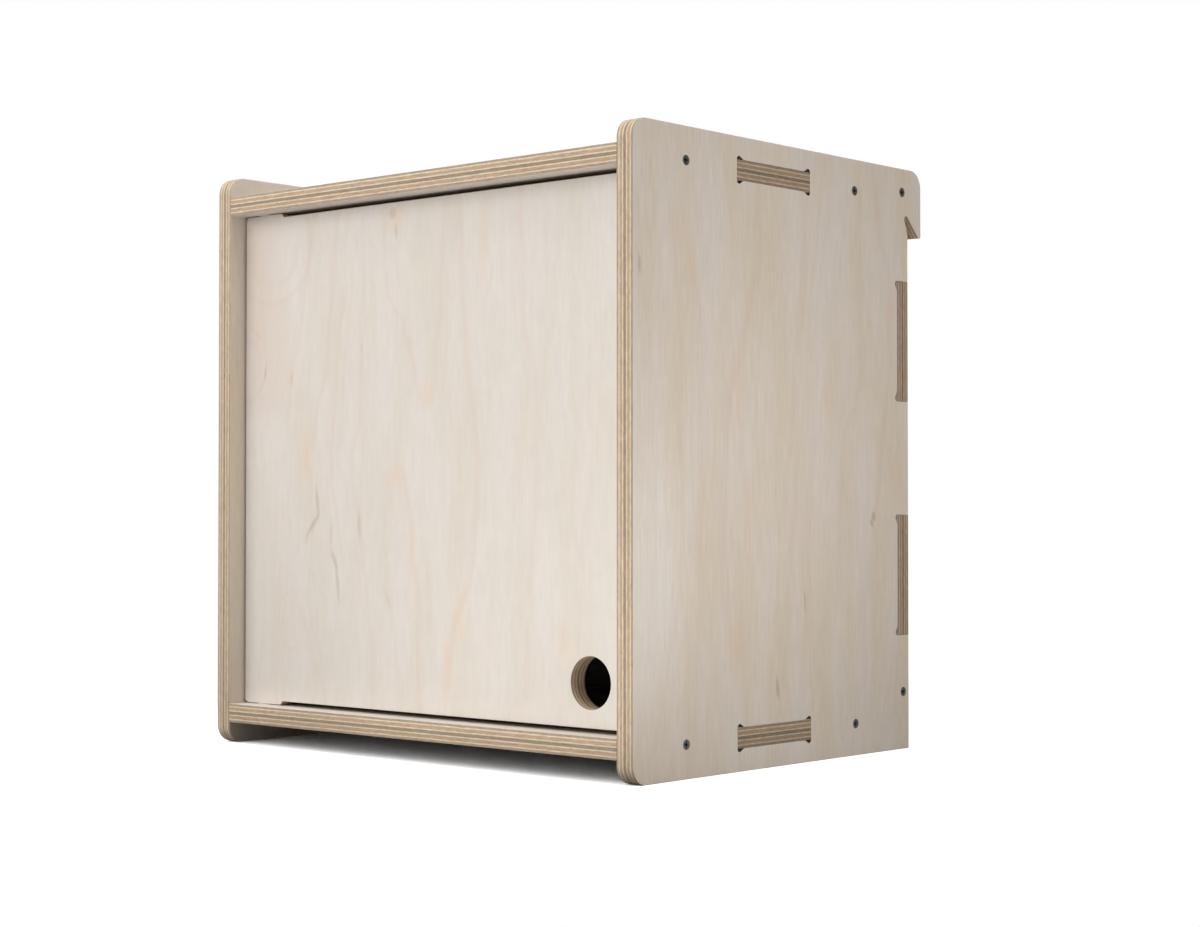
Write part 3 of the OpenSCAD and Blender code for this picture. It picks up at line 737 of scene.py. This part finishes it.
door_lines = [
    (0.13, 7, 0.1, [(33, 355), (35, 300), (38, 250), (45, 205), (48, 165), (46, 138), (40, 104), (27, 78),
                    (18, 15)]),
    (0.1, 6, 0.2, [(82, 360), (85, 270), (91, 238), (96, 205), (96, 160), (92, 122), (90, 80), (86, 15)]),
    (0.1, 5, 0.2, [(-32, 305), (-27, 278), (-17, 265), (-9, 242), (-2, 222), (4, 206)]),
    (0.09, 5, 0.2, [(17, 355), (18, 290), (15, 262), (11, 238), (5, 206)]),
    (0.11, 5, 0.2, [(-19, 182), (-12, 162), (-10, 145), (-7, 122), (-3, 95), (-2, 65), (-1, 10)]),
    (0.09, 4, 0.5, [(-52, 355), (-54, 253), (-56, 206), (-62, 180), (-56, 145), (-51, 115), (-46, 80),
                    (-42, 10)]),
    (0.12, 6, 0.4, [(-76, 355), (-81, 300), (-83, 268), (-87, 237), (-95, 214), (-99, 180)]),
    (0.09, 4, 0.6, [(-64, 303), (-75, 260), (-79, 225), (-82, 180), (-78, 150), (-68, 105)]),
    (0.08, 4, 0.4, [(-34, 116), (-27, 93), (-22, 70), (-19, 10)]),
    (0.09, 5, 0.4, [(-95, 360), (-104, 306), (-111, 273), (-118, 245), (-126, 195)]),
    (0.08, 4, 0.5, [(-132, 180), (-137, 123), (-136, 85), (-134, 10)]),
    (0.08, 4, 0.5, [(-118, 100), (-104, 70), (-93, 48), (-82, 10)]),
    (0.17, 48, 0.0, [(-148, 400), (-146, 320), (-140, 262), (-150, 200)])]
door_knots = [(0.09, -139, 320, 38, 36), (0.12, -165, 246, 20, 24), (0.08, -120, 80, 12, 18)]
door_patches = [(-22, 172, 15, 15), (-9, 130, 6, 62), (33, 84, 12, 32), (22, 56, 7, 36),
                (118, 78, 12, 20), (-106, 186, 17, 32), (-24, 330, 18, 16), (4, 222, 9, 17),
                (-120, 236, 9, 10), (52, 312, 10, 46)]
door_strokes = [(0.26, -95, 156, 3.2, 19, 6), (0.28, -99, 142, 3.2, 17, -41), (0.12, -105, 133, 2.6, 8, -25),
                (0.14, -82, 136, 2.8, 16, 2), (0.24, -79, 120, 3.2, 12, 25), (0.24, -76, 106, 3.0, 24, 7),
                (0.16, -56, 142, 3.0, 17, 0), (0.2, -26, 333, 7, 7, 0), (0.16, -23, 322, 3.4, 10, 3),
                (0.1, -30, 97, 2.6, 12, 28), (0.2, -146, 240, 2.0, 10, -4), (0.16, -120, 235, 1.4, 8, 0),
                (0.16, -54, 252, 1.4, 6, 0)]
leaf = sawn_panel("door_leaf", door_cuts, Y * door_high.y, X, Z, -Y)
figure = {"lines": door_lines, "knots": door_knots, "patches": door_patches, "strokes": door_strokes}
ply = birch_ply("birch_door", "door_panel", (X, Z, Y), 41.0, white_birch, **figure)
fit(leaf, ply, "door", "birch_plywood", "door_panel")


# Catches. Round steel strike plates let into the door's rear face opposite the magnets, each held by one
# short countersunk screw.
for level in ("upper", "lower"):
    dress(f"{level}_strike_plate", nickel_plate)
    node = f"{level}_strike_screw"
    low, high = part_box(node)
    screw = wood_screw(((low.x + high.x) / 2, high.y, (low.z + high.z) / 2), -Y, X, high.y - low.y)
    fit(screw_group(f"{level}_strike_wood_screw", [screw]), dark_zinc, "door", "zinc_screw", node)


# Studio. A plain white floor that keeps the cabinet's shadow, a white surround, broad soft lamps above and
# before the door, weaker ones that even out the sides and the rear, and a low camera at the right front.
scene = bpy.context.scene
scene.view_settings.view_transform = "Standard"


def seen_rays(tree):
    """1 for the rays that show a background: to the camera, in reflections and through clear things."""
    rays = add_node(tree, "ShaderNodeLightPath").outputs
    shown = calc(tree, "MAXIMUM", rays["Is Camera Ray"], rays["Is Glossy Ray"])
    return calc(tree, "MAXIMUM", shown, rays["Is Transmission Ray"])


surround_light = 0.2
world = bpy.data.worlds.new("surround")
scene.world = world
world.use_nodes = True
tree = world.node_tree
tree.nodes.clear()
white = (1, 1, 1, 1)
shown = add_node(tree, "ShaderNodeBackground", {"Color": white, "Strength": 1.0}).outputs[0]
given = add_node(tree, "ShaderNodeBackground", {"Color": white, "Strength": surround_light}).outputs[0]
both = add_node(tree, "ShaderNodeMixShader", {0: seen_rays(tree), 1: given, 2: shown}).outputs[0]
add_node(tree, "ShaderNodeOutputWorld", {"Surface": both})

floor_half = 6.0
floor_mesh = bpy.data.meshes.new("floor")
corner = np.array([(-1, -1, 0), (1, -1, 0), (1, 1, 0), (-1, 1, 0)]) * floor_half
floor_mesh.from_pydata(corner.tolist(), [], [(0, 1, 2, 3)])
floor = bpy.data.objects.new("floor", floor_mesh)
scene.collection.objects.link(floor)
floor_paper = bpy.data.materials.new("floor_paper")
floor_paper.use_nodes = True
tree = floor_paper.node_tree
tree.nodes.clear()
floor_light = 0.25
floor_lit = (0.1, 0.1, 0.1, 1)
floor_seen = (1.7, 1.7, 1.7, 1)
floor_fades = {"lit": ((0.02, 0, 0), 0.27, 0.45), "seen": ((0, -0.2, 0), 0.25, 0.5)}
seen = seen_rays(tree)
glow = calc(tree, "MULTIPLY_ADD", seen, 1 - floor_light, floor_light)
far_white = add_node(tree, "ShaderNodeEmission", {"Color": white, "Strength": glow}).outputs[0]
near_white = lay_over(tree, seen, floor_lit, floor_seen)
paper = add_node(tree, "ShaderNodeBsdfDiffuse", {"Color": near_white}).outputs[0]
spot = add_node(tree, "ShaderNodeTexCoord").outputs["Object"]
fades = {}
for ray, (centre, near, far) in floor_fades.items():
    away = add_node(tree, "ShaderNodeVectorMath", {0: spot, 1: centre}, operation="DISTANCE").outputs["Value"]
    fades[ray] = rise_between(tree, away, near, far)
fade = add_node(tree, "ShaderNodeMix", {"Factor": seen, "A": fades["lit"], "B": fades["seen"]}).outputs[0]
surface = add_node(tree, "ShaderNodeMixShader", {0: fade, 1: paper, 2: far_white}).outputs[0]
add_node(tree, "ShaderNodeOutputMaterial", {"Surface": surface})
floor_mesh.materials.append(floor_paper)


def soft_box(name, place, aim, width, power):
    """Square lamp at a place, turned to a point."""
    lamp = bpy.data.lights.new(name, "AREA")
    lamp.shape = "SQUARE"
    lamp.size = width
    lamp.energy = power
    holder = bpy.data.objects.new(name, lamp)
    holder.location = place
    holder.visible_camera = False
    holder.visible_glossy = False
    direction = np.subtract(aim, place)
    holder.rotation_euler = (math.atan2(np.hypot(*direction[:2]), -direction[2]), 0,
                             math.atan2(-direction[0], direction[1]))
    scene.collection.objects.link(holder)


middle = np.array([0, 0, cabinet_h / 2])
soft_box("top_lamp", (0, -0.2, 2.2), middle, 1.8, 26)
soft_box("front_panel", (-0.5, -1.6, 1.0), middle, 1.8, 27)
soft_box("left_lamp", (-1.4, -0.9, 0.6), middle, 0.8, 3.8)
soft_box("floor_lamp", (0.2, -0.42, 0.004), (0.2, -0.42, 1), 0.5, 0.82)
soft_box("high_lamp", (0.6, -0.3, 1.2), middle, 0.6, 1.7)
soft_box("side_lamp", (0.7, -0.05, 0.22), (0, -0.05, 0.22), 0.3, 0.58)
soft_box("near_lamp", (0.42, -0.06, 0.14), (0, -0.06, 0.14), 0.2, 0.185)
soft_box("back_lamp", (0.4, 1.6, 0.9), middle, 1.4, 11)
soft_box("rear_left_lamp", (-1.4, 0.9, 0.7), middle, 0.8, 6)

camera = bpy.data.objects.new("camera", bpy.data.cameras.new("camera"))
camera.data.sensor_width = 36
camera.data.lens = 66.98
camera.location = (0.97723, -1.06557, 0.15256)
camera.rotation_euler = (math.radians(91.1306), 0, math.radians(41.6658))
scene.collection.objects.link(camera)
scene.camera = camera
